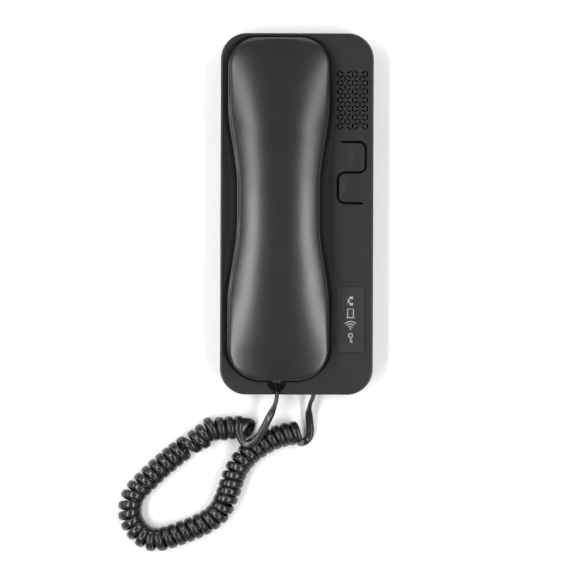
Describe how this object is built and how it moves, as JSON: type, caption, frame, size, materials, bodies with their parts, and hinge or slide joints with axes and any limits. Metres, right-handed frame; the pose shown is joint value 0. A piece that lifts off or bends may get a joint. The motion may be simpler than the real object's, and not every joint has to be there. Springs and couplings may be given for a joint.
{
  "type": "door entry handset station",
  "caption": "Slim wall station for a door intercom: flat base with speaker grille and push buttons, lift-off handset in a cradle, curly modular cord.",
  "frame": {"origin": "centre of the base's back, which lies on the surface (wall side down)", "axes": "+Z out of the station's face, +Y towards its top end, +X to the right seen from the front"},
  "size_m": [0.1402, 0.2869, 0.044],
  "materials": {
    "cover_plastic": "fine spark-eroded satin, dark grey",
    "handset_plastic": "smooth satin, dark grey",
    "label_film": "satin film with light-grey pictograms",
    "plate_plastic": "matt black moulding",
    "cord_jacket": "glossy extruded jacket, near black",
    "clear_plastic": "clear moulding",
    "screw_steel": "zinc plated",
    "speaker_steel": "pressed steel",
    "board_laminate": "black solder mask",
    "terminal_plastic": "green moulding",
    "component_plastic": "black moulding",
    "capacitor_sleeve": "dark blue sleeve",
    "plunger_plastic": "ivory moulding",
    "cone_paper": "pressed paper cone",
    "mesh_cloth": "black acoustic cloth",
    "soft_rubber": "soft black rubber",
    "red_insulation": "red wire insulation",
    "blue_insulation": "blue wire insulation"
  },
  "bodies": {
    "base": {"back_plate": "plate_plastic", "front_cover": "cover_plastic", "label_plate": "label_film", "case_screws": "screw_steel", "circuit_board": "board_laminate", "board_screws": "screw_steel", "board_chips": "component_plastic", "board_capacitors": "capacitor_sleeve", "terminal_block": "terminal_plastic", "terminal_screws": "screw_steel", "speaker_frame": "speaker_steel", "speaker_cone": "cone_paper", "speaker_magnet": "speaker_steel", "speaker_mesh": "mesh_cloth", "speaker_screws": "screw_steel", "speaker_wires": "red_insulation", "upper_switch_body": "component_plastic", "lower_switch_body": "component_plastic", "hook_switch": "component_plastic", "hook_spring": "screw_steel", "base_jack": "component_plastic", "base_plug": "clear_plastic", "base_lead": "cord_jacket", "curly_cord": "cord_jacket", "handset_lead": "cord_jacket"},
    "handset": {"handset_outer_shell": "handset_plastic", "handset_inner_shell": "handset_plastic", "receiver_capsule": "speaker_steel", "receiver_gasket": "soft_rubber", "receiver_wires": "red_insulation", "microphone_capsule": "speaker_steel", "microphone_boot": "soft_rubber", "microphone_wires": "blue_insulation", "handset_jack": "component_plastic", "handset_plug": "clear_plastic", "handset_screws": "screw_steel"},
    "hook_plunger": {"hook_plunger": "plate_plastic"},
    "upper_button": {"upper_button": "cover_plastic"},
    "lower_button": {"lower_button": "cover_plastic"},
    "upper_switch_plunger": {"upper_switch_plunger": "plunger_plastic"},
    "lower_switch_plunger": {"lower_switch_plunger": "plunger_plastic"}
  },
  "joints": [
    {"name": "handset_lift", "type": "slide", "parent": "base", "child": "handset", "axis": [0, 0, 1], "range_m": [0, 0.05]},
    {"name": "hook_plunger_slide", "type": "slide", "parent": "base", "child": "hook_plunger", "axis": [0, 0, 1], "range_m": [0, 0.003], "deforming": ["hook_spring"]},
    {"name": "upper_button_tilt", "type": "hinge", "parent": "base", "child": "upper_button", "pos_m": [0.0264, 0.03145, 0.0191], "axis": [0, 1, 0], "range_deg": [0, 3], "stiffness_Nm_per_rad": 0.2},
    {"name": "lower_button_tilt", "type": "hinge", "parent": "base", "child": "lower_button", "pos_m": [0.0342, 0.01445, 0.0191], "axis": [0, -1, 0], "range_deg": [0, 3], "stiffness_Nm_per_rad": 0.2},
    {"name": "upper_switch_travel", "type": "slide", "parent": "base", "child": "upper_switch_plunger", "axis": [0, 0, -1], "range_m": [0, 0.00036]},
    {"name": "lower_switch_travel", "type": "slide", "parent": "base", "child": "lower_switch_plunger", "axis": [0, 0, -1], "range_m": [0, 0.00036]}
  ],
  "couplings": [
    {"joint": "hook_plunger_slide", "follows": "handset_lift", "ratio": 0.06},
    {"joint": "upper_switch_travel", "follows": "upper_button_tilt", "m_per_rad": 0.0066},
    {"joint": "lower_switch_travel", "follows": "lower_button_tilt", "m_per_rad": 0.0066}
  ]
}
